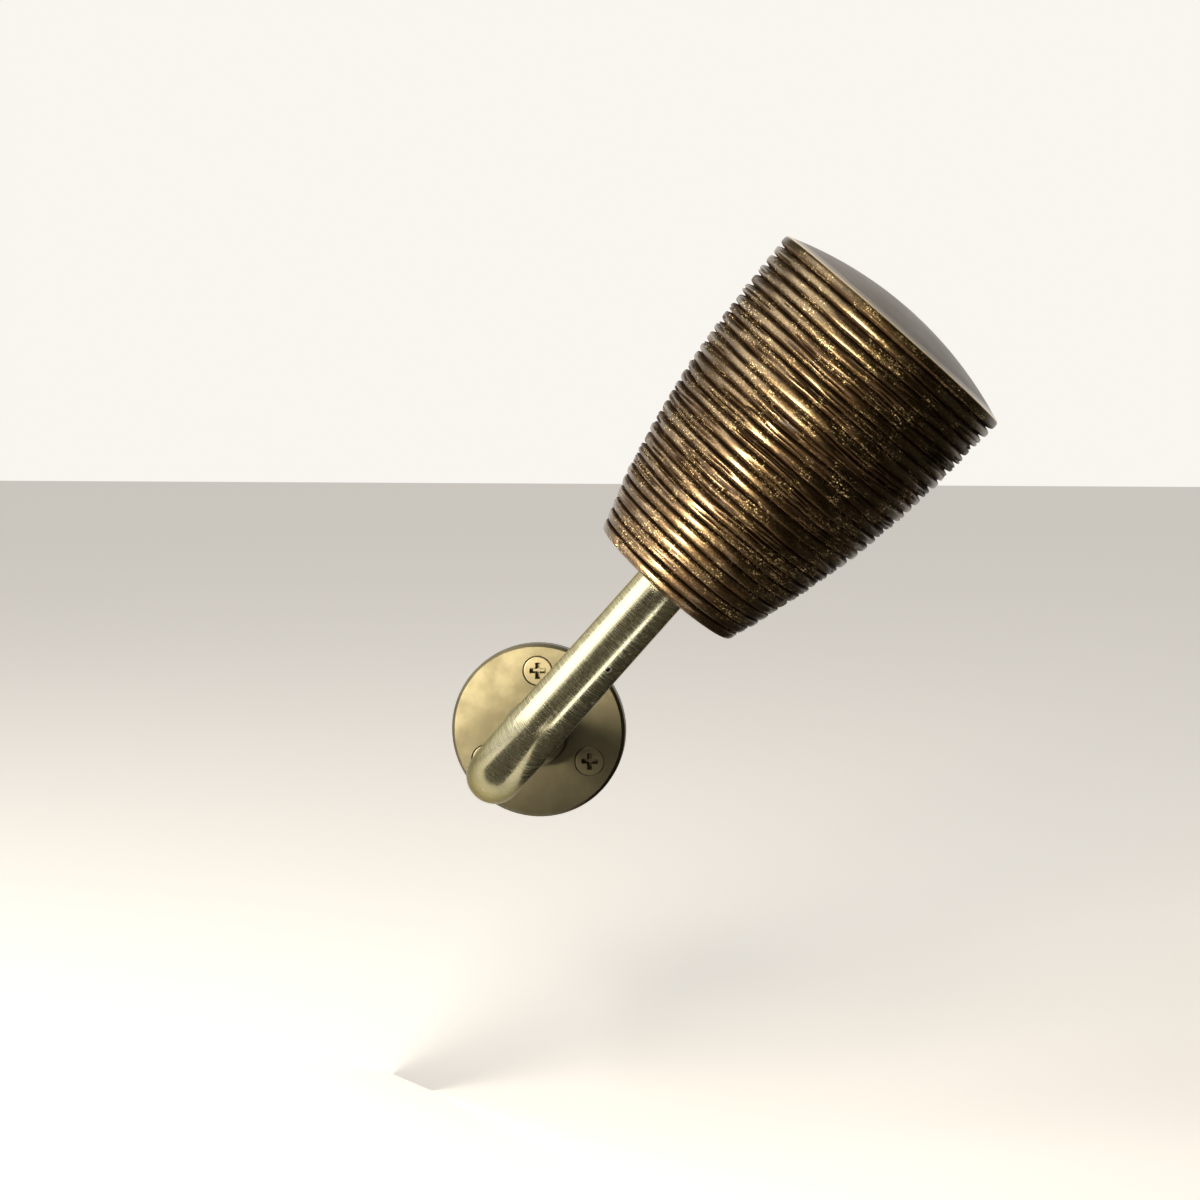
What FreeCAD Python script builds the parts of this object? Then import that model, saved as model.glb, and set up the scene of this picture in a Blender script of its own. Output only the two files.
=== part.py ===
import FreeCAD, Part
import math
import os
import re
import Sketcher

# Curtain holdback: a bent tube arm that stands on a round wall rose, with a ribbed and domed
# finial screwed on its free end. The curtain hangs in the crook between the wall and the front leg.
#
# Frame: the origin is the centre of the rose's back face. The wall is the plane Y = 0, the room
# is on the -Y side and +Z is up. The wall leg runs along -Y, and the front leg runs parallel to
# the wall, rising to the right at leg_angle from +X.

V = FreeCAD.Vector

# Millimetres and degrees. Each value is one cell of the document's size table.
SIZES = {
    # Wall rose, with a collar that holds the tube's end
    "rose_diameter": 45,
    "rose_thickness": 4,
    "rose_edge_bevel": 0.8,
    "collar_diameter": 17,
    "collar_height": 6,
    "collar_edge_bevel": 0.6,
    # Arm: one round tube, bent once through a right angle
    "tube_diameter": 12,
    "tube_wall": 1,
    "tube_socket_clearance": 0.1,
    "bend_radius": 24,
    "arm_reach": 95,
    "leg_angle": 48.6,
    "leg_to_finial": 62,
    # Small pit in the tube's front leg
    "pit_diameter": 0.8,
    "pit_distance": 40.4,
    "pit_turn": 33,
    # Finial: a barrel-sided cone with a domed end, wound about with ribs
    "finial_length": 72,
    "finial_wide_diameter": 59.2,
    "finial_narrow_diameter": 36.2,
    "finial_fullness": 2.25,
    "finial_socket_depth": 2,
    "dome_height": 5.2,
    "rim_band": 3.4,
    "rim_edge_round": 0.6,
    "rib_count": 28,
    "rib_groove_depth": 0.8,
    "rib_steep_side": 0.6,
    "rib_unevenness": 0.1,
    # Thread that joins the finial and the rose to the tube
    "thread_diameter": 6,
    "thread_clearance": 0.05,
    "stud_length": 25,
    "stud_in_tube": 11,
    "tube_nut_length": 12,
    "nut_fit_clearance": 0.05,
    "insert_diameter": 9,
    "insert_length": 15,
    "insert_groove_depth": 0.6,
    "insert_groove_width": 2,
    "bore_runout": 3,
    "small_chamfer": 0.5,
    # Countersunk machine screw from the back of the rose into the tube
    "rose_screw_length": 16,
    "rose_screw_head": 11.4,
    "rose_screw_sink": 0.2,
    "rose_screw_hole": 6.4,
    "rose_key_width": 4,
    "rose_key_depth": 2.2,
    # Countersunk wall screws
    "wall_screw_circle": 31,
    "wall_screw_diameter": 4,
    "wall_screw_neck": 2.9,
    "wall_screw_head": 7.6,
    "wall_screw_sink": 0.1,
    "wall_screw_length": 32,
    "wall_screw_point": 4,
    "wall_screw_hole": 4.4,
    "cross_width": 1.1,
    "cross_span": 4.2,
    "cross_depth": 1.7,
    # Gap between a screw's cone and its countersink
    "cone_clearance": 0.05,
}
SHEET = "sizes"
WALL_SCREW_ANGLES = (90, 210, 330)
HEX_ANGLES = (15, 75, 135, 195, 255, 315)


def size_table(doc):
    """The document's spreadsheet: a name, a value and an alias on each row."""
    sheet = doc.addObject("Spreadsheet::Sheet", SHEET)
    for row, (name, value) in enumerate(SIZES.items(), start=1):
        sheet.set(f"A{row}", name)
        sheet.set(f"B{row}", str(value))
        sheet.setAlias(f"B{row}", name)
    doc.recompute()
    return sheet


def bind(thing, path, formula):
    """Ties a property to the size table: each word with an underscore is one of its names."""
    thing.setExpression(path, re.sub(r"[a-z]+_[a-z_]+", lambda word: f"{SHEET}.{word.group()}", formula))


def origin_plane(body, role):
    return next(plane for plane in body.Origin.OriginFeatures if plane.Role == role)


def new_sketch(body, name, role):
    """An empty sketch on one of the body's own origin planes."""
    sketch = body.newObject("Sketcher::SketchObject", name)
    sketch.AttachmentSupport = (origin_plane(body, role), [""])
    sketch.MapMode = "FlatFace"
    return sketch


def fix_point(sketch, edge, end, across, up):
    """Holds one end of a sketch edge at two formulas, each measured from the sketch's origin."""
    # The sketcher calls its horizontal axis -1, whose start is the origin, and its vertical axis -2.
    for way, formula, axis in (("DistanceX", across, -2), ("DistanceY", up, -1)):
        if formula == "0":
            sketch.addConstraint(Sketcher.Constraint("PointOnObject", edge, end, axis))
        else:
            place = sketch.getPoint(edge, end)
            start = place.x if way == "DistanceX" else place.y
            constraint = Sketcher.Constraint(way, -1, 1, edge, end, start)
            bind(sketch, f"Constraints[{sketch.addConstraint(constraint)}]", formula)


def closed_outline(sketch, corners):
    """A closed run of straight edges through corners, each a pair of formulas."""
    count = len(corners)
    # The edges start on any open spiral, and the constraints then pull each corner to its place.
    start = [V(10 + turn, 5 + turn * turn) for turn in range(count)]
    for turn in range(count):
        sketch.addGeometry(Part.LineSegment(start[turn], start[(turn + 1) % count]), False)
    for turn in range(count):
        sketch.addConstraint(Sketcher.Constraint("Coincident", turn, 2, (turn + 1) % count, 1))
    for turn, (across, up) in enumerate(corners):
        fix_point(sketch, turn, 1, across, up)


def add_circle(sketch, across, up, radius):
    """A circle whose centre and radius are formulas."""
    edge = sketch.addGeometry(Part.Circle(V(3, 4, 0), V(0, 0, 1), 1), False)
    fix_point(sketch, edge, 3, across, up)
    constraint = sketch.addConstraint(Sketcher.Constraint("Radius", edge, 1))
    bind(sketch, f"Constraints[{constraint}]", radius)


def turned_body(doc, name, corners):
    """A body turned about its own Z axis from its half section of (radius, height) corners."""
    body = doc.addObject("PartDesign::Body", name)
    section = new_sketch(body, f"{name}_section", "XZ_Plane")
    closed_outline(section, corners)
    turning = body.newObject("PartDesign::Revolution", f"{name}_turning")
    turning.Profile = section
    turning.ReferenceAxis = (section, ["V_Axis"])
    turning.Angle = 360
    section.Visibility = False
    doc.recompute()
    return body


def end_recess(doc, body, corners, level, depth, from_below):
    """Sinks a straight-sided recess of the given outline into one end of a turned body."""
    outline = new_sketch(body, f"{body.Name}_recess_outline", "XY_Plane")
    closed_outline(outline, corners)
    bind(outline, "AttachmentOffset.Base.z", level)
    recess = body.newObject("PartDesign::Pocket", f"{body.Name}_recess")
    recess.Profile = outline
    recess.Reversed = from_below
    bind(recess, "Length", depth)
    before = body.Shape.Volume
    doc.recompute()
    if not body.Shape.Volume < before:
        raise RuntimeError(f"{body.Name}: the recess cuts nothing")


def place_on_wall(thing, across="0", up="0"):
    """Turns the piece's +Z out of the wall, and sets its origin on the wall plane."""
    thing.Placement = FreeCAD.Placement(V(), FreeCAD.Rotation(V(1, 0, 0), 90))
    bind(thing, "Placement.Base.x", across)
    bind(thing, "Placement.Base.z", up)


def place_on_leg(thing, distance):
    """Turns the piece's +Z along the front leg, at a distance from the wall leg's axis."""
    thing.Placement = FreeCAD.Placement(V(), FreeCAD.Rotation(V(0, 1, 0), 45))
    bind(thing, "Placement.Rotation.Angle", "90 - leg_angle")
    bind(thing, "Placement.Base.x", f"({distance}) * cos(leg_angle)")
    bind(thing, "Placement.Base.y", "-arm_reach")
    bind(thing, "Placement.Base.z", f"({distance}) * sin(leg_angle)")


def wall_rose(doc):
    """A turned disc with a collar, a countersunk hole from behind and three from the front."""
    collar_top = "rose_thickness + collar_height"
    socket = "tube_diameter / 2 + tube_socket_clearance"
    mouth = "rose_screw_head / 2 + rose_screw_sink + cone_clearance"
    body = turned_body(doc, "wall_rose", [
        (mouth, "0"),
        ("rose_diameter / 2", "0"),
        ("rose_diameter / 2", "rose_thickness - rose_edge_bevel"),
        ("rose_diameter / 2 - rose_edge_bevel", "rose_thickness"),
        ("collar_diameter / 2", "rose_thickness"),
        ("collar_diameter / 2", f"{collar_top} - collar_edge_bevel"),
        ("collar_diameter / 2 - collar_edge_bevel", collar_top),
        (socket, collar_top),
        (socket, "rose_thickness"),
        ("rose_screw_hole / 2", "rose_thickness"),
        ("rose_screw_hole / 2", f"{mouth} - rose_screw_hole / 2"),
    ])
    centres = new_sketch(body, "wall_hole_centres", "XY_Plane")
    for angle in WALL_SCREW_ANGLES:
        across, up = on_screw_circle(angle)
        add_circle(centres, across, up, "wall_screw_hole / 2")
    bind(centres, "AttachmentOffset.Base.z", "rose_thickness")
    doc.recompute()
    holes = body.newObject("PartDesign::Hole", "wall_holes")
    holes.Profile = centres
    holes.DepthType = "ThroughAll"
    bind(holes, "Diameter", "wall_screw_hole")
    holes.HoleCutType = "Countersink"
    holes.HoleCutCountersinkAngle = 90
    bind(holes, "HoleCutDiameter", "wall_screw_head + 2 * wall_screw_sink + 2 * cone_clearance")
    doc.recompute()
    place_on_wall(body)
    return body


def on_screw_circle(angle):
    """Formulas for the place of one wall screw, at an angle round the rose."""
    across = "0" if angle == 90 else f"wall_screw_circle / 2 * cos({angle})"
    return across, f"wall_screw_circle / 2 * sin({angle})"


def wall_screw(doc, number, angle):
    """A wood screw: cone head with a cross recess, plain neck in the rose, and a pointed shank.

    Its shank is as wide as the thread's outside and starts at the back of the rose.
    """
    top = "rose_thickness - wall_screw_sink"
    tip = f"{top} - wall_screw_length"
    body = turned_body(doc, f"wall_screw_{number}", [
        ("0", top),
        ("wall_screw_head / 2", top),
        ("wall_screw_neck / 2", f"{top} - (wall_screw_head - wall_screw_neck) / 2"),
        ("wall_screw_neck / 2", "0"),
        ("wall_screw_diameter / 2", "0"),
        ("wall_screw_diameter / 2", f"{tip} + wall_screw_point"),
        ("0", tip),
    ])
    narrow = "cross_width / 2"
    far = "cross_span / 2"
    quarter = [(far, narrow), (narrow, narrow), (narrow, far)]
    corners = quarter
    for side, rise in (("-", ""), ("-", "-"), ("", "-")):
        turned = quarter if side == rise else quarter[::-1]
        corners = corners + [(side + across, rise + up) for across, up in turned]
    end_recess(doc, body, corners, top, "cross_depth", from_below=False)
    place_on_wall(body, *on_screw_circle(angle))
    return body


def rose_screw(doc):
    """A machine screw with a sunk cone head and a six-sided recess, seen from the back."""
    top = "rose_screw_sink + rose_screw_length"
    body = turned_body(doc, "rose_screw", [
        ("0", "rose_screw_sink"),
        ("rose_screw_head / 2", "rose_screw_sink"),
        ("thread_diameter / 2", "rose_screw_sink + (rose_screw_head - thread_diameter) / 2"),
        ("thread_diameter / 2", f"{top} - small_chamfer"),
        ("thread_diameter / 2 - small_chamfer", top),
        ("0", top),
    ])
    reach = "rose_key_width / 2 / cos(30)"
    corners = [(f"{reach} * cos({angle})", f"{reach} * sin({angle})") for angle in HEX_ANGLES]
    end_recess(doc, body, corners, "rose_screw_sink", "rose_key_depth", from_below=True)
    place_on_wall(body)
    return body


def tube_nut(doc, name, start):
    """A threaded plug pressed into the tube, chamfered at both ends and inside its bore."""
    outside = "tube_diameter / 2 - tube_wall - nut_fit_clearance"
    bore = "thread_diameter / 2 + thread_clearance"
    end = f"{start} + tube_nut_length"
    return turned_body(doc, name, [
        (f"{bore} + small_chamfer", start),
        (f"{outside} - small_chamfer", start),
        (outside, f"{start} + small_chamfer"),
        (outside, f"{end} - small_chamfer"),
        (f"{outside} - small_chamfer", end),
        (f"{bore} + small_chamfer", end),
        (bore, f"{end} - small_chamfer"),
        (bore, f"{start} + small_chamfer"),
    ])


def tube_path(body, sheet):
    """The tube's centreline, flat in the body's XY plane: wall leg, quarter bend and front leg."""
    reach = sheet.get("arm_reach")
    bend_radius = sheet.get("bend_radius")
    root = V(0, -sheet.get("rose_thickness"), 0)
    tip = V(sheet.get("leg_to_finial") + sheet.get("finial_socket_depth"), -reach, 0)
    leave, join = V(0, bend_radius - reach, 0), V(bend_radius, -reach, 0)
    middle = V(bend_radius, bend_radius - reach, 0) - V(bend_radius, bend_radius, 0) * math.sqrt(0.5)
    path = new_sketch(body, "tube_path", "XY_Plane")
    path.addGeometry(Part.LineSegment(root, leave), False)
    path.addGeometry(Part.Arc(leave, middle, join), False)
    path.addGeometry(Part.LineSegment(join, tip), False)
    bend_start = 1 if path.getPoint(1, 1).y > path.getPoint(1, 2).y else 2
    path.addConstraint(Sketcher.Constraint("Tangent", 0, 2, 1, bend_start))
    path.addConstraint(Sketcher.Constraint("Tangent", 1, 3 - bend_start, 2, 1))
    path.addConstraint(Sketcher.Constraint("Vertical", 0))
    path.addConstraint(Sketcher.Constraint("Horizontal", 2))
    fix_point(path, 0, 1, "0", "-rose_thickness")
    fix_point(path, 2, 2, "leg_to_finial + finial_socket_depth", "-arm_reach")
    bend = path.addConstraint(Sketcher.Constraint("Radius", 1, bend_radius))
    bind(path, f"Constraints[{bend}]", "bend_radius")
    return path


def arm_tube(doc, sheet):
    """The tube, swept along wall leg, bend and front leg, with its pit drilled into the front."""
    body = doc.addObject("PartDesign::Body", "arm_tube")
    path = tube_path(body, sheet)
    section = new_sketch(body, "tube_section", "XZ_Plane")
    add_circle(section, "0", "0", "tube_diameter / 2")
    add_circle(section, "0", "0", "tube_diameter / 2 - tube_wall")
    bind(section, "AttachmentOffset.Base.z", "rose_thickness")
    doc.recompute()
    tube = body.newObject("PartDesign::AdditivePipe", "tube")
    tube.Profile = section
    tube.Spine = (path, [])
    doc.recompute()

    mouth = new_sketch(body, "pit_outline", "XZ_Plane")
    mouth.AttachmentOffset = FreeCAD.Placement(V(), FreeCAD.Rotation(V(1, 0, 0), 20))
    bind(mouth, "AttachmentOffset.Rotation.Angle", "pit_turn")
    bind(mouth, "AttachmentOffset.Base.z", "arm_reach")
    add_circle(mouth, "pit_distance", "0", "pit_diameter / 2")
    pit = body.newObject("PartDesign::Pocket", "pit")
    pit.Profile = mouth
    pit.Reversed = True
    bind(pit, "Length", "tube_diameter")
    before = body.Shape.Volume
    doc.recompute()
    if not body.Shape.Volume < before:
        raise RuntimeError("arm_tube: the pit cuts nothing")
    body.Placement = FreeCAD.Placement(V(), FreeCAD.Rotation(V(0, -1, 0), 45))
    bind(body, "Placement.Rotation.Angle", "leg_angle")
    return body


def finial_insert(doc):
    """A threaded sleeve cast into the finial, with a groove round its middle that the resin grips."""
    start = "finial_socket_depth"
    end = f"{start} + insert_length"
    outside = "insert_diameter / 2"
    bore = "thread_diameter / 2 + thread_clearance"
    waist = f"{outside} - insert_groove_depth"
    low = f"{start} + (insert_length - insert_groove_width) / 2"
    high = f"{start} + (insert_length + insert_groove_width) / 2"
    body = turned_body(doc, "finial_insert", [
        (f"{bore} + small_chamfer", start),
        (outside, start),
        (outside, low),
        (waist, low),
        (waist, high),
        (outside, high),
        (outside, end),
        (bore, end),
        (bore, f"{start} + small_chamfer"),
    ])
    place_on_leg(body, "leg_to_finial")
    return body


def finial_stud(doc):
    """A headless threaded stud, half in the tube's nut and half in the finial's insert."""
    start = "finial_socket_depth - stud_in_tube"
    end = f"{start} + stud_length"
    outside = "thread_diameter / 2"
    tip = f"{outside} - small_chamfer"
    body = turned_body(doc, "finial_stud", [
        ("0", start),
        (tip, start),
        (outside, f"{start} + small_chamfer"),
        (outside, f"{end} - small_chamfer"),
        (tip, end),
        ("0", end),
    ])
    place_on_leg(body, "leg_to_finial")
    return body


def ribbed_side(size):
    """The finial's outside from its narrow face to the start of its rim band, as (radius, height) points.

    The smooth barrel swells from the narrow end and is nearly straight at the wide one. Each rib lies
    against the next like a wound strand: it falls gently to a groove and rises from it on a short,
    steep side. The grooves stand a little unevenly, as hand-wound ribs do.
    """
    length = size("finial_length")
    wide = size("finial_wide_diameter") / 2
    narrow = size("finial_narrow_diameter") / 2
    ribs = round(size("rib_count"))
    pitch = (length - size("rim_band")) / ribs
    depth = size("rib_groove_depth")
    steep_side = size("rib_steep_side")

    def barrel(height):
        return wide - (wide - narrow) * (1 - height / length) ** size("finial_fullness")

    points = [(barrel(0) - depth, 0), (barrel(steep_side), steep_side)]
    for rib in range(1, ribs + 1):
        groove = pitch * (rib + size("rib_unevenness") * math.sin(2.4 * rib) * (rib < ribs))
        points.append((barrel(groove) - depth, groove))
        points.append((barrel(groove + steep_side), groove + steep_side))
    return points


def finial_body(doc, sheet):
    """The finial's casting, turned from one outline: recess, insert bore, ribs, rim band and dome."""
    size = sheet.get
    length = size("finial_length")
    wide = size("finial_wide_diameter") / 2
    dome_rim = wide - size("rim_edge_round")
    socket_depth = size("finial_socket_depth")
    socket = size("tube_diameter") / 2 + size("tube_socket_clearance")
    bore = size("insert_diameter") / 2 + size("nut_fit_clearance")
    bore_end = socket_depth + size("insert_length") + size("bore_runout")

    inside = [(0, bore_end), (bore, bore_end), (bore, socket_depth), (socket, socket_depth), (socket, 0)]
    rim = [(wide, length - size("rim_edge_round")), (dome_rim, length)]
    outline = Part.makePolygon([V(radius, 0, height) for radius, height in inside + ribbed_side(size) + rim])

    rise = size("dome_height")
    dome_radius = (dome_rim ** 2 + rise ** 2) / (2 * rise)
    half_way = math.asin(dome_rim / dome_radius) / 2
    middle = V(dome_radius * math.sin(half_way), 0, length + rise - dome_radius * (1 - math.cos(half_way)))
    top = V(0, 0, length + rise)
    dome = Part.Arc(V(dome_rim, 0, length), middle, top).toShape()
    axis = Part.LineSegment(top, V(0, 0, bore_end)).toShape()

    casting = doc.addObject("Part::Feature", "finial_body")
    face = Part.Face(Part.Wire([*outline.Edges, dome, axis]))
    casting.Shape = face.revolve(V(), V(0, 0, 1), 360)
    place_on_leg(casting, "leg_to_finial")
    return casting


def check_and_write(doc, nodes):
    """Stops on any failed object or bad solid, and writes each node's shape to its own file."""
    doc.recompute()
    for thing in doc.Objects:
        if "Invalid" in thing.State or "Error" in thing.State:
            raise RuntimeError(f"{thing.Label} failed: {thing.State}")
    for node in nodes:
        if node.Shape.isNull() or not node.Shape.isValid() or len(node.Shape.Solids) != 1:
            raise RuntimeError(f"{node.Label} is not one valid solid")
    os.makedirs("parts", exist_ok=True)
    for node in nodes:
        node.Shape.exportStep(f"parts/{node.Label}.step")


def main():
    doc = FreeCAD.newDocument("curtain_holdback")
    sheet = size_table(doc)
    front_nut = tube_nut(doc, "front_tube_nut", "finial_socket_depth - tube_nut_length")
    place_on_leg(front_nut, "leg_to_finial")
    rear_nut = tube_nut(doc, "rear_tube_nut", "rose_thickness")
    place_on_wall(rear_nut)
    nodes = [
        finial_body(doc, sheet),
        finial_insert(doc),
        finial_stud(doc),
        front_nut,
        arm_tube(doc, sheet),
        rear_nut,
        wall_rose(doc),
        rose_screw(doc),
    ]
    nodes += [wall_screw(doc, number, angle) for number, angle in enumerate(WALL_SCREW_ANGLES, start=1)]
    check_and_write(doc, nodes)


main()
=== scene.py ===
"""Curtain holdback: a bent antique-brass arm on a wall rose, with a wound, ribbed bronze finial."""
import math

import bpy
from mathutils import Matrix, Vector


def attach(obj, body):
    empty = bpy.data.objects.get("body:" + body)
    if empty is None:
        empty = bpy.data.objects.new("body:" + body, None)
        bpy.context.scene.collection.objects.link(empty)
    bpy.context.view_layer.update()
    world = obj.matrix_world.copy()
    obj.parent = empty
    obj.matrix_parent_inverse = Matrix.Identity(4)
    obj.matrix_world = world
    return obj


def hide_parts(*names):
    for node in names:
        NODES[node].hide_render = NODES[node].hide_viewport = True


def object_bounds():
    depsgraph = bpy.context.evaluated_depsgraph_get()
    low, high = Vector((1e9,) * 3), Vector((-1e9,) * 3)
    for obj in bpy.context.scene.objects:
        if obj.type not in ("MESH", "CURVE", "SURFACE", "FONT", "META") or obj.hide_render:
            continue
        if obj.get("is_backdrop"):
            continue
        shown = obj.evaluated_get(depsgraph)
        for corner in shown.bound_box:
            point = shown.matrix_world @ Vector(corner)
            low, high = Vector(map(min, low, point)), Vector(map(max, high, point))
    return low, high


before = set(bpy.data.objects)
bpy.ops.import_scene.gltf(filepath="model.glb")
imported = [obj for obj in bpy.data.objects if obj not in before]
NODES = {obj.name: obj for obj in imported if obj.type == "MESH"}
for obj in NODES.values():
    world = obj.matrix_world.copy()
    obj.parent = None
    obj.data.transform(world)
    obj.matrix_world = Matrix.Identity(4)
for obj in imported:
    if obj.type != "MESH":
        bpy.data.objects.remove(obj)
cad_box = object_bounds()
MM = 0.001
FULL_TURN = 2 * math.pi

# The object's driving sizes, in metres and radians, as the solids have them
LEG_ANGLE = math.radians(48.6)
ARM_REACH = 95 * MM
BEND_RADIUS = 24 * MM
TUBE_RADIUS = 6 * MM
ROSE_THICKNESS = 4 * MM
LEG_TO_FINIAL = 62 * MM
SOCKET_DEPTH = 2 * MM
SOCKET_RADIUS = 6.1 * MM
# Bore in the finial for its threaded insert
BORE_RADIUS = 4.55 * MM
BORE_END = 20 * MM
PIT_DISTANCE = 40.4 * MM
PIT_TURN = math.radians(33)
FINIAL_LENGTH = 72 * MM
FINIAL_WIDE = 29.6 * MM
FINIAL_NARROW = 18.1 * MM
FINIAL_FULLNESS = 2.25
DOME_HEIGHT = 5.2 * MM
RIB_COUNT = 28

# Sizes in which the scene departs from the solids: their band at the rim is 3.4 mm wide, their
# plainer grooves are 0.8 mm deep, and their tube isn't widened by its bending.
RIM_BAND = 2.4 * MM
RIB_DEPTH = 1.5 * MM
BEND_SPREAD = 0.06

LEG_WAY = Vector((math.cos(LEG_ANGLE), 0, math.sin(LEG_ANGLE)))
LEG_SIDE = Vector((-math.sin(LEG_ANGLE), 0, math.cos(LEG_ANGLE)))
ROOM_WAY = Vector((0, -1, 0))

# Turns a piece made along +Z to lie along the front leg, with +X of the piece towards the room.
LEG_FRAME = Matrix.Translation(LEG_WAY * LEG_TO_FINIAL + ROOM_WAY * ARM_REACH) @ Matrix((
    (ROOM_WAY.x, -LEG_SIDE.x, LEG_WAY.x, 0),
    (ROOM_WAY.y, -LEG_SIDE.y, LEG_WAY.y, 0),
    (ROOM_WAY.z, -LEG_SIDE.z, LEG_WAY.z, 0),
    (0, 0, 0, 1),
))


# Shader building helpers

def new_material(name):
    """A material with an empty node tree, and its Principled shader on the output."""
    material = bpy.data.materials.new(name)
    material.use_nodes = True
    tree = material.node_tree
    tree.nodes.clear()
    output = tree.nodes.new("ShaderNodeOutputMaterial")
    shader = tree.nodes.new("ShaderNodeBsdfPrincipled")
    tree.links.new(shader.outputs["BSDF"], output.inputs["Surface"])
    return material, tree, shader


def put(tree, socket, value):
    """Links an output to a socket, or sets the socket's own value."""
    if isinstance(value, bpy.types.NodeSocket):
        tree.links.new(value, socket)
    else:
        socket.default_value = value


def put_all(tree, sockets, values):
    """Puts each value into the socket of the same place in its row."""
    for socket, value in zip(sockets, values):
        put(tree, socket, value)


def maths(tree, operation, *values):
    """One step of arithmetic on values or outputs."""
    node = tree.nodes.new("ShaderNodeMath")
    node.operation = operation
    put_all(tree, node.inputs, values)
    return node.outputs[0]


def swing(tree, field, weight):
    """A noise's swing about its middle, times a weight."""
    return maths(tree, "MULTIPLY", maths(tree, "SUBTRACT", field, 0.5), weight)


def ramp_between(tree, value, low, high, start=0.0, end=1.0, smooth=True):
    """A smooth or straight step of value from low..high to start..end."""
    node = tree.nodes.new("ShaderNodeMapRange")
    node.interpolation_type = "SMOOTHSTEP" if smooth else "LINEAR"
    put_all(tree, node.inputs, (value, low, high, start, end))
    return node.outputs[0]


def noise(tree, place, scale, detail=2.0, roughness=0.5):
    """Cloudy noise from 0 to 1: scale is in features a metre, unless place is stretched."""
    node = tree.nodes.new("ShaderNodeTexNoise")
    put(tree, node.inputs["Vector"], place)
    put(tree, node.inputs["Scale"], scale)
    put(tree, node.inputs["Detail"], detail)
    put(tree, node.inputs["Roughness"], roughness)
    return node.outputs["Fac"]


def mix_colour(tree, factor, first, second, blend="MIX"):
    """The first colour at factor 0, going over to the second at 1."""
    node = tree.nodes.new("ShaderNodeMix")
    node.data_type = "RGBA"
    node.blend_type = blend
    put(tree, node.inputs[0], factor)
    put(tree, node.inputs[6], first)
    put(tree, node.inputs[7], second)
    return node.outputs[2]


def colour_of(tree, value):
    """A grey colour from a value."""
    node = tree.nodes.new("ShaderNodeCombineColor")
    put_all(tree, node.inputs, (value, value, value))
    return node.outputs[0]


def bump(tree, height, strength, distance):
    """A normal bent by a height field, where distance is the height of 1 in metres."""
    node = tree.nodes.new("ShaderNodeBump")
    put(tree, node.inputs["Height"], height)
    put(tree, node.inputs["Strength"], strength)
    put(tree, node.inputs["Distance"], distance)
    return node.outputs["Normal"]


def object_place(tree, turn=(0, 0, 0)):
    """Object coordinates in metres, turned."""
    coordinates = tree.nodes.new("ShaderNodeTexCoord")
    mapping = tree.nodes.new("ShaderNodeMapping")
    mapping.vector_type = "POINT"
    mapping.inputs["Rotation"].default_value = turn
    tree.links.new(coordinates.outputs["Object"], mapping.inputs["Vector"])
    return mapping.outputs["Vector"]


def stretched(tree, place, factors):
    """A place with each of its axes multiplied by a factor."""
    node = tree.nodes.new("ShaderNodeVectorMath")
    node.operation = "MULTIPLY"
    put_all(tree, node.inputs, (place, factors))
    return node.outputs["Vector"]


def attribute(tree, name):
    """A value that the mesh carries at each point."""
    node = tree.nodes.new("ShaderNodeAttribute")
    node.attribute_name = name
    return node.outputs["Fac"]


# Shader groups that several materials can share

def new_group(name, inputs, outputs):
    """An empty shader group with named sockets: each input is (name, kind, default)."""
    tree = bpy.data.node_groups.new(name, "ShaderNodeTree")
    for label, kind, default in inputs:
        socket = tree.interface.new_socket(label, in_out="INPUT", socket_type=kind)
        socket.default_value = default
    for label in outputs:
        tree.interface.new_socket(label, in_out="OUTPUT", socket_type="NodeSocketFloat")
    return tree, tree.nodes.new("NodeGroupInput"), tree.nodes.new("NodeGroupOutput")


def use_group(tree, group, **values):
    """Places a group; a keyword is the name of one of its inputs."""
    node = tree.nodes.new("ShaderNodeGroup")
    node.node_tree = group
    for label, value in values.items():
        put(tree, node.inputs[label], value)
    return node.outputs


def speckle_group():
    """Sparse bright flakes of metal paint: a mask from a fine cell pattern."""
    tree, given, result = new_group(
        "metal flakes",
        [("Place", "NodeSocketVector", (0, 0, 0)), ("Scale", "NodeSocketFloat", 900.0),
         ("Share", "NodeSocketFloat", 0.1)],
        ["Flakes"])
    cells = tree.nodes.new("ShaderNodeTexVoronoi")
    put(tree, cells.inputs["Vector"], given.outputs["Place"])
    put(tree, cells.inputs["Scale"], given.outputs["Scale"])
    pick = tree.nodes.new("ShaderNodeSeparateColor")
    put(tree, pick.inputs[0], cells.outputs["Color"])
    chosen = maths(tree, "LESS_THAN", pick.outputs[0], given.outputs["Share"])
    core = ramp_between(tree, cells.outputs["Distance"], 0.46, 0.28)
    put(tree, result.inputs["Flakes"], maths(tree, "MULTIPLY", chosen, core))
    return tree


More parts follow.
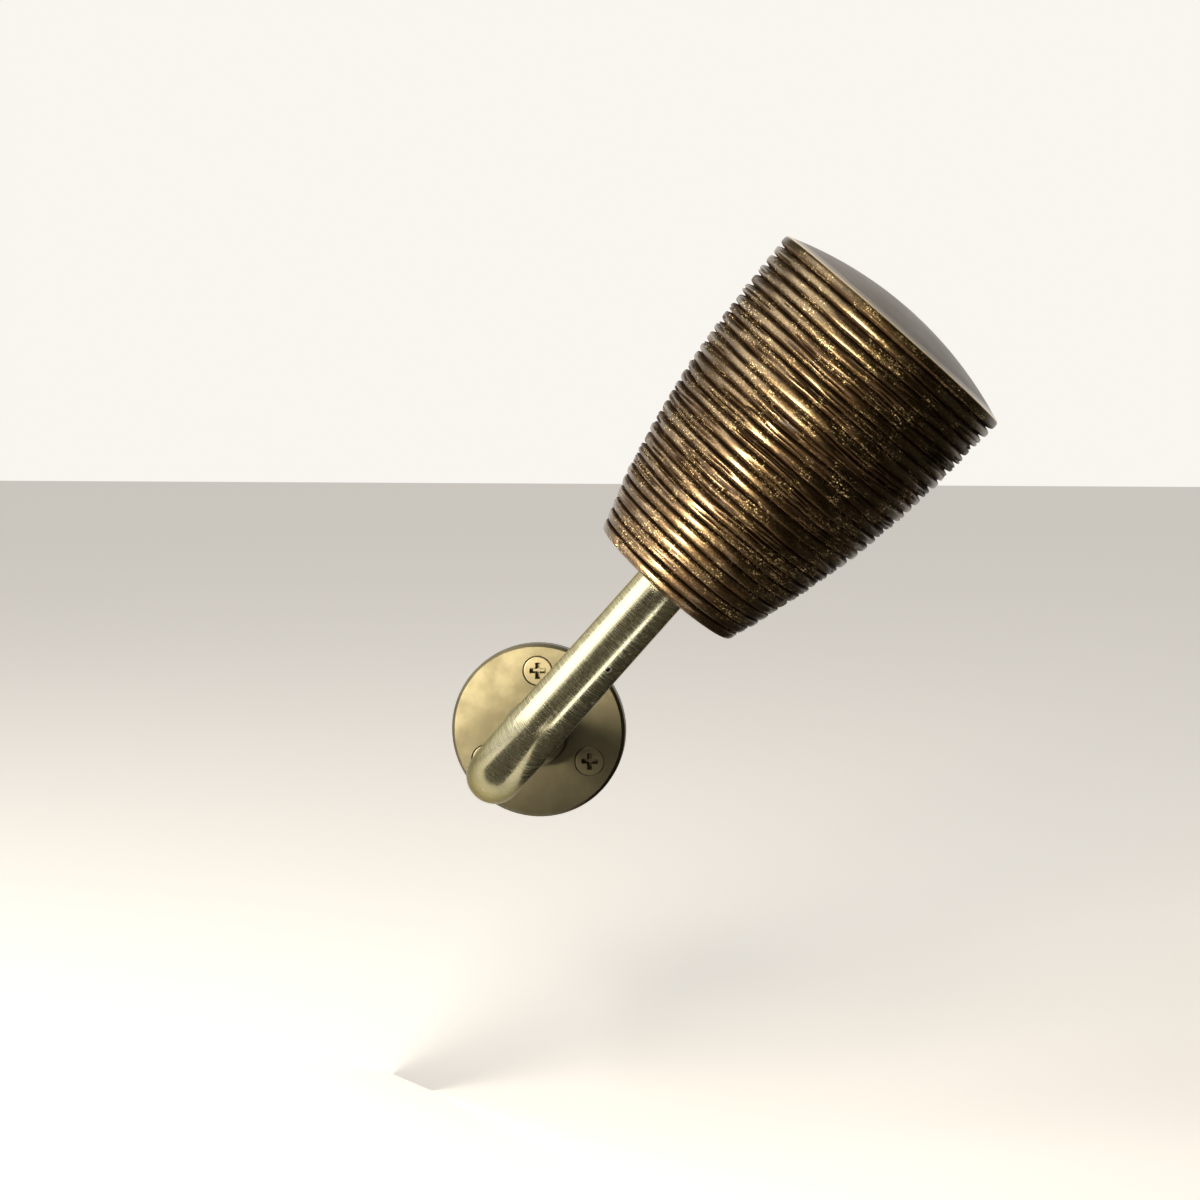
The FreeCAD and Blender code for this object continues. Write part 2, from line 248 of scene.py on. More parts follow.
def brushed_group():
    """Fine lines that run one way: noise squeezed along Place's X and left long along its Y."""
    tree, given, result = new_group(
        "brushed lines",
        [("Place", "NodeSocketVector", (0, 0, 0)), ("Fineness", "NodeSocketFloat", 2600.0),
         ("Length", "NodeSocketFloat", 60.0)],
        ["Lines", "Cloud"])
    split = tree.nodes.new("ShaderNodeSeparateXYZ")
    put(tree, split.inputs[0], given.outputs["Place"])
    squeezed = tree.nodes.new("ShaderNodeCombineXYZ")
    for axis, factor in enumerate(("Fineness", "Length", "Length")):
        scaled = maths(tree, "MULTIPLY", split.outputs[axis], given.outputs[factor])
        put(tree, squeezed.inputs[axis], scaled)
    lines = noise(tree, squeezed.outputs[0], 1.0, detail=3.0, roughness=0.6)
    put(tree, result.inputs["Lines"], lines)
    put(tree, result.inputs["Cloud"], noise(tree, given.outputs["Place"], 90.0, detail=3.0))
    return tree


FLAKES = speckle_group()
BRUSHED = brushed_group()


# Materials

# Golds of the finial, each from its narrow end to its wide one
COPPER_GOLD = ((0.125, 0.072, 0.024, 1), (0.100, 0.062, 0.018, 1))
PALE_GOLD = ((0.30, 0.19, 0.085, 1), (0.25, 0.165, 0.062, 1))
# Pairs of tones that a cloudy noise mixes
DARK_RESIN = ((0.020, 0.010, 0.004, 1), (0.050, 0.027, 0.011, 1))
# Painted sheen: the cap's light taupe stands in for the pale grazing reflection on the dome
CAP_SHEEN_TAUPE = ((0.225, 0.157, 0.104, 1), (0.275, 0.196, 0.132, 1))
ANTIQUE_BRASS = ((0.53, 0.495, 0.31, 1), (0.65, 0.61, 0.42, 1))
FLAKE_GOLD = (0.85, 0.66, 0.34, 1)
# Painted highlight: a bright gold along the rim's edge, which also tops the proudest crests
RIM_HIGHLIGHT_GOLD = (0.95, 0.72, 0.34, 1)
SCRATCH_BRIGHT = (0.95, 0.92, 0.84, 1)
# Painted highlight round the pit's lip, and painted shade inside the pit
PIT_RIM_HIGHLIGHT = (0.98, 0.95, 0.88, 1)
PIT_PAINTED_SHADE = (0.012, 0.010, 0.007, 1)


def gilt_with_groove_shade(tree, rise, fibre, patches, grain):
    """How much gold was rubbed on: most on what stands proud, broken up by the three noises. The dark resin
    that it leaves in the valleys is partly the dry-brushed finish and partly painted shade.
    """
    rubbed = rise
    for field, weight in ((fibre, 0.6), (patches, 0.35), (grain, 0.7)):
        rubbed = maths(tree, "ADD", rubbed, swing(tree, field, weight))
    return ramp_between(tree, rubbed, 0.36, 0.9)


def finial_paint(tree, gilt, patches, grain):
    """Copper gold and pale gold over dark resin, by how much was rubbed on. The dark resin left in the
    valleys is partly painted shade.
    """
    along = attribute(tree, "along")
    copper = mix_colour(tree, along, *COPPER_GOLD)
    pale = mix_colour(tree, along, *PALE_GOLD)
    gold = mix_colour(tree, ramp_between(tree, grain, 0.45, 0.72), copper, pale)
    return mix_colour(tree, gilt, mix_colour(tree, patches, *DARK_RESIN), gold)


def finial_flakes(tree, place, fibre, patches):
    """Bright flakes and a finer gold dust, both gathered in patches and along the fibres."""
    flakes = use_group(tree, FLAKES, Place=place, Scale=2100.0, Share=0.36)[0]
    flakes = maths(tree, "MULTIPLY", flakes, ramp_between(tree, patches, 0.46, 0.58))
    dust = use_group(tree, FLAKES, Place=place, Scale=3600.0, Share=0.20)[0]
    dust = maths(tree, "MULTIPLY", dust, ramp_between(tree, patches, 0.40, 0.54, 0.0, 0.9))
    both = maths(tree, "MAXIMUM", flakes, dust)
    return maths(tree, "MULTIPLY", both, ramp_between(tree, fibre, 0.42, 0.54))


def finial_bronze():
    """Dark cast resin with gold paint dry-brushed on what stands proud, and stray bright flakes. The dark
    valleys are partly painted shade, the rim's edge carries a painted highlight and the cap a painted sheen.
    """
    material, tree, shader = new_material("finial_bronze")
    turned = object_place(tree, turn=(0, LEG_ANGLE - math.pi / 2, 0))
    fibre = noise(tree, stretched(tree, turned, (70, 70, 2300)), 1.0, detail=5.0, roughness=0.7)
    patches = noise(tree, turned, 160.0, detail=4.0, roughness=0.6)
    grain = noise(tree, turned, 2600.0, detail=3.0, roughness=0.65)
    rise = attribute(tree, "rise")
    cap = attribute(tree, "cap")
    gilt = gilt_with_groove_shade(tree, rise, fibre, patches, grain)
    flakes = finial_flakes(tree, turned, fibre, patches)

    coloured = mix_colour(tree, flakes, finial_paint(tree, gilt, patches, grain), FLAKE_GOLD)
    # Painted highlight: bright gold where rise passes 1, along the rim's edge and on the proudest crests
    coloured = mix_colour(tree, ramp_between(tree, rise, 1.05, 1.5), coloured, RIM_HIGHLIGHT_GOLD)
    # Painted sheen on the cap: a light taupe in place of its grazing reflection
    coloured = mix_colour(tree, cap, coloured, mix_colour(tree, patches, *CAP_SHEEN_TAUPE))
    put(tree, shader.inputs["Base Color"], coloured)
    # Metal shows where gold lies, less so under the flakes, and not on the cap.
    gold_metal = ramp_between(tree, gilt, 0.02, 0.28)
    metal = maths(tree, "MULTIPLY", gold_metal, ramp_between(tree, flakes, 0.2, 0.8, 1.0, 0.45))
    metal = maths(tree, "MULTIPLY", metal, maths(tree, "SUBTRACT", 1.0, cap))
    put(tree, shader.inputs["Metallic"], metal)
    rough = ramp_between(tree, gilt, 0.0, 1.0, 0.50, 0.35)
    put(tree, shader.inputs["Roughness"], maths(tree, "ADD", rough, swing(tree, grain, 0.25)))
    shader.inputs["Specular IOR Level"].default_value = 0.15
    put(tree, shader.inputs["Coat Weight"], ramp_between(tree, rise, 0.35, 0.9, 0.0, 0.7))
    shader.inputs["Coat Roughness"].default_value = 0.28
    shader.inputs["Coat IOR"].default_value = 1.62
    height = maths(tree, "ADD", maths(tree, "MULTIPLY", fibre, 0.4), maths(tree, "MULTIPLY", grain, 0.4))
    height = maths(tree, "ADD", height, maths(tree, "MULTIPLY", flakes, 0.8))
    put(tree, shader.inputs["Normal"], bump(tree, height, 0.6, 0.10 * MM))
    return material


def hairlines(tree, place):
    """Hairline scratches: thin contours of a slow noise, broken up by another."""
    contours = maths(tree, "ABSOLUTE", maths(tree, "SUBTRACT", noise(tree, place, 150.0, detail=1.0), 0.5))
    broken = ramp_between(tree, noise(tree, place, 210.0, detail=1.0), 0.56, 0.60)
    return maths(tree, "MULTIPLY", ramp_between(tree, contours, 0.0045, 0.0015), broken)


def arm_brass():
    """Antique brass tube, satin, brushed round and round, with a faint tarnish, and with painted shade in the
    pit and a painted highlight on its lip.
    """
    material, tree, shader = new_material("arm_brass")
    uv = tree.nodes.new("ShaderNodeUVMap")
    uv.uv_map = "tube_uv"
    place = uv.outputs[0]
    lines, cloud = use_group(tree, BRUSHED, Place=place, Fineness=5200.0, Length=110.0)
    pit_rim = attribute(tree, "pit_rim")

    tone = mix_colour(tree, cloud, *ANTIQUE_BRASS)
    shade = colour_of(tree, ramp_between(tree, lines, 0.35, 0.7, 0.78, 1.06))
    coloured = mix_colour(tree, 1.0, tone, shade, blend="MULTIPLY")
    coloured = mix_colour(tree, hairlines(tree, place), coloured, SCRATCH_BRIGHT)
    # Painted highlight on the pit's lip and painted shade in the pit
    coloured = mix_colour(tree, pit_rim, coloured, PIT_RIM_HIGHLIGHT)
    coloured = mix_colour(tree, attribute(tree, "pit"), coloured, PIT_PAINTED_SHADE)
    put(tree, shader.inputs["Base Color"], coloured)
    shader.inputs["Metallic"].default_value = 0.92
    rough = ramp_between(tree, lines, 0.38, 0.68, 0.15, 0.34)
    rough = maths(tree, "ADD", rough, swing(tree, cloud, 0.12))
    rough = maths(tree, "ADD", rough, maths(tree, "MULTIPLY", pit_rim, 0.35))
    put(tree, shader.inputs["Roughness"], rough)
    shader.inputs["Specular Tint"].default_value = (0.30, 0.27, 0.16, 1)
    put(tree, shader.inputs["Normal"], bump(tree, lines, 0.16, 0.03 * MM))
    return material


def plain_metal(name, base, dark, roughness):
    """Turned or plated metal on object coordinates: fine grain, faint stains."""
    material, tree, shader = new_material(name)
    place = object_place(tree)
    stain = noise(tree, place, 105.0, detail=4.0, roughness=0.6)
    grain = noise(tree, place, 2800.0)
    put(tree, shader.inputs["Base Color"], mix_colour(tree, ramp_between(tree, stain, 0.35, 0.7), dark, base))
    shader.inputs["Metallic"].default_value = 1.0
    rough = ramp_between(tree, stain, 0.3, 0.7, roughness + 0.08, roughness - 0.03)
    put(tree, shader.inputs["Roughness"], maths(tree, "ADD", rough, maths(tree, "MULTIPLY", grain, 0.06)))
    put(tree, shader.inputs["Normal"], bump(tree, grain, 0.15, 0.02 * MM))
    return material


# Geometry Nodes trees

class FieldTree:
    """A Geometry Nodes tree with named inputs, and short calls for its arithmetic."""

    def __init__(self, name, inputs):
        self.tree = bpy.data.node_groups.new(name, "GeometryNodeTree")
        interface = self.tree.interface
        interface.new_socket("Geometry", in_out="INPUT", socket_type="NodeSocketGeometry")
        self.identifiers = {}
        for label, kind in inputs:
            socket = interface.new_socket(label, in_out="INPUT", socket_type=kind)
            self.identifiers[label] = socket.identifier
        interface.new_socket("Geometry", in_out="OUTPUT", socket_type="NodeSocketGeometry")
        self.given = self.tree.nodes.new("NodeGroupInput").outputs
        self.result = self.tree.nodes.new("NodeGroupOutput").inputs[0]

    def node(self, kind, links=None, **settings):
        """A node with its settings, and with values or outputs put into its inputs."""
        made = self.tree.nodes.new(kind)
        for label, value in settings.items():
            setattr(made, label, value)
        for label, value in (links or {}).items():
            put(self.tree, made.inputs[label], value)
        return made

    def maths(self, operation, *values):
        """One step of arithmetic on values or fields."""
        return maths(self.tree, operation, *values)

    def add(self, first, second):
        """The sum of two values or fields."""
        return self.maths("ADD", first, second)

    def sub(self, first, second):
        """The first value or field less the second."""
        return self.maths("SUBTRACT", first, second)

    def mul(self, first, second):
        """The product of two values or fields."""
        return self.maths("MULTIPLY", first, second)

    def step(self, value, low, high, start=0.0, end=1.0):
        """A smooth step of value from low..high to start..end."""
        return ramp_between(self.tree, value, low, high, start, end)

    def combine(self, x, y, z):
        """A vector of three values or fields."""
        made = self.node("ShaderNodeCombineXYZ")
        put_all(self.tree, made.inputs, (x, y, z))
        return made.outputs[0]

    def store(self, geometry, name, value):
        """Stores a field on the points of a mesh under a name."""
        made = self.node("GeometryNodeStoreNamedAttribute", {"Geometry": geometry, "Value": value},
                         data_type="FLOAT", domain="POINT")
        made.inputs["Name"].default_value = name
        return made.outputs["Geometry"]


# How far rows of the grid move towards the valleys, in ribs
ROW_CROWDING = 0.11
# Keeps a row that lies on a valley from falling to the rib before it
ROUNDING_GUARD = 1e-5
# Distance within which the wound ribs and the plain parts are joined
WELD_DISTANCE = 2e-6


class WoundRibs(FieldTree):
    """Ribs wound round a barrel: rows of the grid follow the ribs, so each valley stays crisp.

    The level counts ribs along the barrel. A noise shifts the rows, so that ribs wander and pinch.
    Each valley fades in and out on its own, so that ribs join and part, and fine lines split them.
    """

    def __init__(self):
        lengths = ("Length", "Ribbed length", "Wide radius", "Narrow radius", "Fullness", "Ribs",
                   "Rib depth", "Crack turn", "Seed")
        super().__init__("wound ribs", [(label, "NodeSocketFloat") for label in lengths]
                         + [("Columns", "NodeSocketInt"), ("Rows", "NodeSocketInt")])
        ribs = self.given["Ribs"]
        self.grid = self.node("GeometryNodeMeshGrid", {
            "Size X": 1.0, "Size Y": 1.0, "Vertices X": self.given["Columns"],
            "Vertices Y": self.given["Rows"]})
        flat = self.node("ShaderNodeSeparateXYZ", {0: self.node("GeometryNodeInputPosition").outputs[0]})
        self.turn = self.mul(self.add(flat.outputs[0], 0.5), FULL_TURN)
        # The rows crowd together at the valleys, so that these stay narrow and crisp.
        even = self.mul(self.add(flat.outputs[1], 0.5), ribs)
        crowding = self.mul(self.maths("SINE", self.mul(even, FULL_TURN)), ROW_CROWDING)
        self.level = self.sub(even, crowding)
        self.phase = self.maths("FRACT", self.add(self.level, ROUNDING_GUARD))
        self.rib = self.maths("FLOOR", self.add(self.level, ROUNDING_GUARD))
        # The first ribs from the narrow end are the smooth ones, and both ends lie straight.
        self.rough = self.step(self.level, 4.0, 9.0, 0.4, 1.0)
        self.ends = self.mul(self.step(self.level, 0.0, 1.5),
                             self.step(self.level, ribs, self.sub(ribs, 1.5)))

    def round_turn(self, radius, height):
        """The place at a radius and a height, round the barrel's turn."""
        return self.combine(
            self.mul(self.maths("COSINE", self.turn), radius),
            self.mul(self.maths("SINE", self.turn), radius), height)

    def ring_noise(self, radius, level, salt=0):
        """Noise that closes on itself round the turn: radius sets how often it changes."""
        place = self.round_turn(radius, self.add(level, self.add(self.given["Seed"], salt)))
        made = self.node("ShaderNodeTexNoise", {"Vector": place, "Scale": 1.0, "Detail": 0.0})
        return made.outputs["Fac"]

    def ring_swing(self, radius, level, salt=0):
        """The same noise, about its middle."""
        return self.sub(self.ring_noise(radius, level, salt), 0.5)

    def wander(self):
        """How far ribs stray along the barrel, in ribs: a slow drift and a small, quick shiver."""
        drift = self.ring_swing(1.15, self.mul(self.level, 0.42))
        shiver = self.ring_swing(3.6, self.mul(self.level, 0.8), salt=31)
        stray = self.add(self.mul(drift, 0.48), self.mul(shiver, 0.10))
        return self.mul(self.mul(stray, self.rough), self.ends)

    def barrel(self, height):
        """The smooth barrel's radius at a height."""
        wide = self.given["Wide radius"]
        share = self.sub(1.0, self.maths("DIVIDE", height, self.given["Length"]))
        taper = self.maths("POWER", share, self.given["Fullness"])
        return self.sub(wide, self.mul(self.sub(wide, self.given["Narrow radius"]), taper))

    def crest(self):
        """A rib's section, from 0 in its valleys: nearly flat on top, steeper near the narrow end."""
        leaning = self.maths("POWER", self.phase, 0.85)
        bow = self.maths("ABSOLUTE", self.maths("SINE", self.mul(leaning, math.pi)))
        side = self.step(bow, 0.0, self.step(self.level, 3.0, 10.0, 0.45, 0.66))
        return self.add(self.mul(side, 0.78), self.mul(bow, 0.22))

    def valley_cut(self, crest):
        """How deep the valleys are: each fades in and out on its own."""
        valley = self.maths("ROUND", self.level)
        fade = self.step(self.ring_noise(1.3, self.mul(valley, 5.7), salt=7), 0.32, 0.42, 0.7, 1.0)
        gone = self.mul(self.sub(1.0, fade), self.rough)
        return self.mul(self.sub(1.0, crest), self.sub(1.0, self.mul(gone, self.ends)))

    def split_line(self, middle, salt):
        """A fine line near a share of each rib's width, which shows for part of the turn."""
        sway = self.mul(self.ring_swing(1.7, self.mul(self.rib, 2.9), salt + 5), 0.5)
        near = self.maths("ABSOLUTE", self.sub(self.phase, self.add(middle, sway)))
        line = self.maths("MAXIMUM", self.sub(1.0, self.maths("DIVIDE", near, 0.11)), 0.0)
        shown = self.step(self.ring_noise(1.2, self.mul(self.rib, 3.9), salt), 0.50, 0.60)
        return self.mul(self.mul(line, shown), self.mul(self.mul(self.rough, self.ends), 0.4))

    def sunk_crest(self, crest):
        """How far each rib's crest lies under the barrel, as some ribs stand proud of others."""
        proud = self.mul(self.ring_swing(2.2, self.mul(self.rib, 2.3), salt=90), 0.5)
        return self.mul(self.mul(self.sub(0.10, proud), crest), self.ends)

    def crack(self):
        """A short crack that runs into the first rib from the narrow face."""
        line = self.add(self.given["Crack turn"], self.mul(self.level, 0.03))
        beside = self.maths("DIVIDE", self.sub(self.turn, line), 0.022)
        across = self.maths("EXPONENT", self.mul(self.mul(beside, beside), -1.0))
        length = self.mul(self.step(self.level, 0.95, 0.7), self.step(self.level, 0.02, 0.2))
        return self.mul(self.mul(across, length), 0.5)

    def lowering(self):
        """How far the surface lies under the barrel, as a share of the rib depth."""
        crest = self.crest()
        low = self.valley_cut(crest)
        for middle, salt in ((0.38, 50), (0.66, 73)):
            low = self.add(low, self.split_line(middle, salt))
        low = self.add(low, self.sunk_crest(crest))
        return self.add(low, self.crack())

    def build(self):
        """Winds the grid round the barrel, and joins it to the plain parts that the tree is given."""
        pitch = self.maths("DIVIDE", self.given["Ribbed length"], self.given["Ribs"])
        height = self.mul(self.add(self.level, self.wander()), pitch)
        low = self.lowering()
        radius = self.sub(self.barrel(height), self.mul(low, self.given["Rib depth"]))
        # The attributes are stored before the grid moves, since every field reads its flat places.
        # Rise falls steeply into the valleys, so that the dark resin there also serves as painted shade.
        rise = self.maths("MAXIMUM", self.sub(1.0, self.mul(low, 1.9)), 0.0)
        flat = self.store(self.grid.outputs["Mesh"], "rise", rise)
        flat = self.store(flat, "along", self.maths("DIVIDE", height, self.given["Length"]))
        wound = self.node("GeometryNodeSetPosition", {
            "Geometry": flat, "Position": self.round_turn(radius, height)})
        joined = self.node("GeometryNodeJoinGeometry")
        for part in (self.given["Geometry"], wound.outputs[0]):
            self.tree.links.new(part, joined.inputs[0])
        welded = self.node("GeometryNodeMergeByDistance", {
            "Geometry": joined.outputs[0], "Distance": WELD_DISTANCE})
        self.tree.links.new(welded.outputs[0], self.result)


def run_tree(fields, start, name, values):
    """Runs a tree on a mesh with its inputs set, and returns the plain mesh it makes."""
    holder = bpy.data.objects.new(f"{name}_maker", start)
    bpy.context.scene.collection.objects.link(holder)
    modifier = holder.modifiers.new("tree", "NODES")
    modifier.node_group = fields.tree
    for label, value in values.items():
        modifier[fields.identifiers[label]] = value
    graph = bpy.context.evaluated_depsgraph_get()
    made = bpy.data.meshes.new_from_object(
        holder.evaluated_get(graph), preserve_all_data_layers=True, depsgraph=graph)
    made.name = name
    bpy.data.objects.remove(holder)
    return made


# Mesh helpers

def grid_faces(rows, columns):
    """Quads of a grid of rows by columns points, closed round each row."""
    return [
        (row * columns + column, row * columns + (column + 1) % columns,
         (row + 1) * columns + (column + 1) % columns, (row + 1) * columns + column)
        for row in range(rows - 1) for column in range(columns)]


def close_ends(points, faces, columns, start, end):
    """Closes the first and the last row of such a grid, each with triangles to a point."""
    base = len(points) - columns
    first, last = len(points), len(points) + 1
    points += [start, end]
    for column in range(columns):
        after = (column + 1) % columns
        faces.append((column, first, after))
        faces.append((base + column, base + after, last))


def lathe(outline, columns):
    """Points and faces of an outline of (radius, height) turned about Z; radius 0 closes a pole."""
    points, rings = [], []
    for radius, height in outline:
        if radius == 0:
            rings.append([len(points)])
            points.append((0, 0, height))
            continue
        rings.append(list(range(len(points), len(points) + columns)))
        for column in range(columns):
            turn = FULL_TURN * column / columns
            points.append((radius * math.cos(turn), radius * math.sin(turn), height))
    faces = []
    for low, high in zip(rings, rings[1:]):
        for column in range(columns):
            after = (column + 1) % columns
            if len(low) == 1:
                faces.append((low[0], high[after], high[column]))
            elif len(high) == 1:
                faces.append((low[column], low[after], high[0]))
            else:
                faces.append((low[column], low[after], high[after], high[column]))
    return points, faces


def mesh_from(name, points, faces):
    """A mesh of points and faces."""
    mesh = bpy.data.meshes.new(name)
    mesh.from_pydata([tuple(point) for point in points], [], faces)
    mesh.validate()
    return mesh


def store_marks(mesh, name, values):
    """Stores a value for each point of a mesh, for its material to read."""
    marks = mesh.attributes.new(name, "FLOAT", "POINT")
    for index, value in enumerate(values):
        marks.data[index].value = value


def add_piece(name, mesh, material, replaced, sharp_degrees):
    """Adds a finished mesh as a piece that rides on the frame and stands for a CAD node."""
    mesh.materials.clear()
    mesh.materials.append(material)
    mesh.shade_smooth()
    mesh.set_sharp_from_angle(angle=math.radians(sharp_degrees))
    piece = bpy.data.objects.new(name, mesh)
    bpy.context.scene.collection.objects.link(piece)
    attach(piece, "root")
    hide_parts(replaced)


# The finial

FINIAL_COLUMNS = 240
RIB_ROWS = 13
CRACK_TURN = math.radians(314.4)
WINDING_SEED = 4.0
BAND_START = FINIAL_LENGTH - RIM_BAND
# The edge between the band and the dome turns over on an arc of this radius, for a share of it.
EDGE_RADIUS = 0.9 * MM
EDGE_SHARE = 0.82
EDGE_STEPS = 6
DOME_RIM = FINIAL_WIDE - EDGE_RADIUS
DOME_STEPS = 12


def recess_outline():
    """Half section of the insert's bore, the tube's recess and the narrow face."""
    chamfer = 0.3 * MM
    return [
        (0, BORE_END), (BORE_RADIUS, BORE_END), (BORE_RADIUS, SOCKET_DEPTH), (SOCKET_RADIUS, SOCKET_DEPTH),
        (SOCKET_RADIUS, chamfer), (SOCKET_RADIUS + chamfer, 0), (FINIAL_NARROW - RIB_DEPTH, 0)]


def cap_outline():
    """Half section of the band at the rim, its rounded edge and the dome."""
    share = 1 - BAND_START / FINIAL_LENGTH
    barrel = FINIAL_WIDE - (FINIAL_WIDE - FINIAL_NARROW) * share ** FINIAL_FULLNESS
    outline = [
        (barrel - RIB_DEPTH, BAND_START),
        (barrel - 0.45 * RIB_DEPTH, BAND_START + 0.16 * MM),
        (barrel - 0.12 * RIB_DEPTH, BAND_START + 0.4 * MM),
        (FINIAL_WIDE, BAND_START + 0.8 * MM),
        (FINIAL_WIDE, FINIAL_LENGTH - 1.7 * MM),
    ]
    for step in range(EDGE_STEPS + 1):
        turn = math.pi / 2 * step / EDGE_STEPS * EDGE_SHARE
        radius = DOME_RIM + EDGE_RADIUS * math.cos(turn)
        outline.append((radius, FINIAL_LENGTH - EDGE_RADIUS + EDGE_RADIUS * math.sin(turn)))
    edge_radius, edge_height = outline[-1]
    rise = FINIAL_LENGTH + DOME_HEIGHT - edge_height
    dome_radius = (edge_radius ** 2 + rise ** 2) / (2 * rise)
    reach = math.asin(edge_radius / dome_radius)
    for step in range(1, DOME_STEPS + 1):
        turn = reach * (1 - step / DOME_STEPS)
        height = FINIAL_LENGTH + DOME_HEIGHT - dome_radius * (1 - math.cos(turn))
        outline.append((dome_radius * math.sin(turn) if step < DOME_STEPS else 0, height))
    return outline


def finial_ends():
    """The plain parts of the casting: bore, recess and narrow face, and rim band and dome."""
    face, face_quads = lathe(recess_outline(), FINIAL_COLUMNS)
    cap, cap_quads = lathe(cap_outline(), FINIAL_COLUMNS)
    shift = len(face)
    faces = face_quads + [tuple(shift + corner for corner in quad) for quad in cap_quads]
    mesh = mesh_from("finial_ends", face + cap, faces)
    rises, caps, alongs = [], [], []
    for vertex in mesh.vertices:
        radius, height = math.hypot(vertex.co.x, vertex.co.y), vertex.co.z
        # The rim term lifts rise along the rim's edge, to paint a highlight there
        rim = math.exp(-((radius - DOME_RIM - 0.45 * EDGE_RADIUS) / (0.3 * MM)) ** 2)
        on_band = height > BAND_START + 0.5 * MM
        on_cap = radius < DOME_RIM and height > FINIAL_LENGTH - EDGE_RADIUS
        rises.append((0.62 + 1.1 * rim) if on_band else 0.35)
        caps.append(1.0 if on_cap else 0.0)
        alongs.append(height / FINIAL_LENGTH)
    store_marks(mesh, "rise", rises)
    store_marks(mesh, "along", alongs)
    store_marks(mesh, "cap", caps)
    return mesh


def make_finial(bronze):
    """The finial: its wound ribs, joined to the plain parts of the casting."""
    ribs = WoundRibs()
    ribs.build()
    mesh = run_tree(ribs, finial_ends(), "finial", {
        "Length": FINIAL_LENGTH, "Ribbed length": BAND_START, "Wide radius": FINIAL_WIDE,
        "Narrow radius": FINIAL_NARROW, "Fullness": FINIAL_FULLNESS, "Ribs": float(RIB_COUNT),
        "Rib depth": RIB_DEPTH, "Columns": FINIAL_COLUMNS + 1, "Rows": RIB_COUNT * RIB_ROWS + 1,
        "Crack turn": CRACK_TURN, "Seed": WINDING_SEED,
    })
    mesh.transform(LEG_FRAME)
    add_piece("finial", mesh, bronze, "finial_body", sharp_degrees=70)


# The arm

WALL_LEG = ARM_REACH - BEND_RADIUS - ROSE_THICKNESS
WALL_LEG_STEPS = 48
BEND_LENGTH = BEND_RADIUS * math.pi / 2
BEND_STEPS = 64
FRONT_LEG = LEG_TO_FINIAL + SOCKET_DEPTH - BEND_RADIUS
FRONT_LEG_STEPS = 40
PIT_RADIUS = 0.42 * MM
PIT_DEPTH = 0.55 * MM
# Distance from the pit's middle within which the mesh is finer
PIT_REACH = 1.5 * MM
PIT_RUN = PIT_DISTANCE - BEND_RADIUS


def arm_path():
    """Stations along the tube's centreline: (place, way, distance), closer together at the pit."""
    stations = []
    for step in range(WALL_LEG_STEPS):
        run = WALL_LEG * step / WALL_LEG_STEPS
        stations.append((ROOM_WAY * (ROSE_THICKNESS + run), ROOM_WAY, run))
    centre = ROOM_WAY * (ARM_REACH - BEND_RADIUS) + LEG_WAY * BEND_RADIUS
    for step in range(BEND_STEPS):
        turn = math.pi / 2 * step / BEND_STEPS
        place = centre - LEG_WAY * BEND_RADIUS * math.cos(turn) + ROOM_WAY * BEND_RADIUS * math.sin(turn)
        way = LEG_WAY * math.sin(turn) + ROOM_WAY * math.cos(turn)
        stations.append((place, way, WALL_LEG + BEND_LENGTH * step / BEND_STEPS))
    even = [FRONT_LEG * step / FRONT_LEG_STEPS for step in range(FRONT_LEG_STEPS + 1)]
    close = [PIT_RUN + offset * 0.1 * MM for offset in range(-12, 13)]
    for run in sorted([run for run in even if abs(run - PIT_RUN) > PIT_REACH] + close):
        place = centre + ROOM_WAY * BEND_RADIUS + LEG_WAY * run
        stations.append((place, LEG_WAY, WALL_LEG + BEND_LENGTH + run))
    return stations


def arm_turns():
    """Angles round the tube from the bend's outer side, closer together where the pit is."""
    even = [math.radians(angle) for angle in range(0, 360, 4)]
    close = [PIT_TURN + math.radians(offset) for offset in range(-9, 10)]
    return sorted([turn for turn in even if abs(turn - PIT_TURN) > math.radians(11)] + close)


def pit_form(gap):
    """Depth of the pit and height of its lip, at a distance from the pit's middle."""
    dent = PIT_DEPTH / (1 + math.exp((gap - PIT_RADIUS) / (0.05 * MM))) if gap < PIT_REACH else 0
    lip = 0.13 * MM * math.exp(-((gap - 1.45 * PIT_RADIUS) / (0.10 * MM)) ** 2)
    return dent, lip


def lay_tube_uv(mesh, uvs):
    """Lays the UV map (length along, length around) in metres, without a jump where it closes."""
    layer = mesh.uv_layers.new(name="tube_uv")
    circumference = FULL_TURN * TUBE_RADIUS
    for polygon in mesh.polygons:
        corners = [(loop, mesh.loops[loop].vertex_index) for loop in polygon.loop_indices]
        known = [uvs[vertex] for _, vertex in corners if vertex < len(uvs)]
        arounds = [around for _, around in known]
        wraps = max(arounds) - min(arounds) > circumference / 2
        for loop, vertex in corners:
            along, around = uvs[vertex] if vertex < len(uvs) else known[0]
            if wraps and around < circumference / 2:
                around += circumference
            layer.data[loop].uv = (along, around)


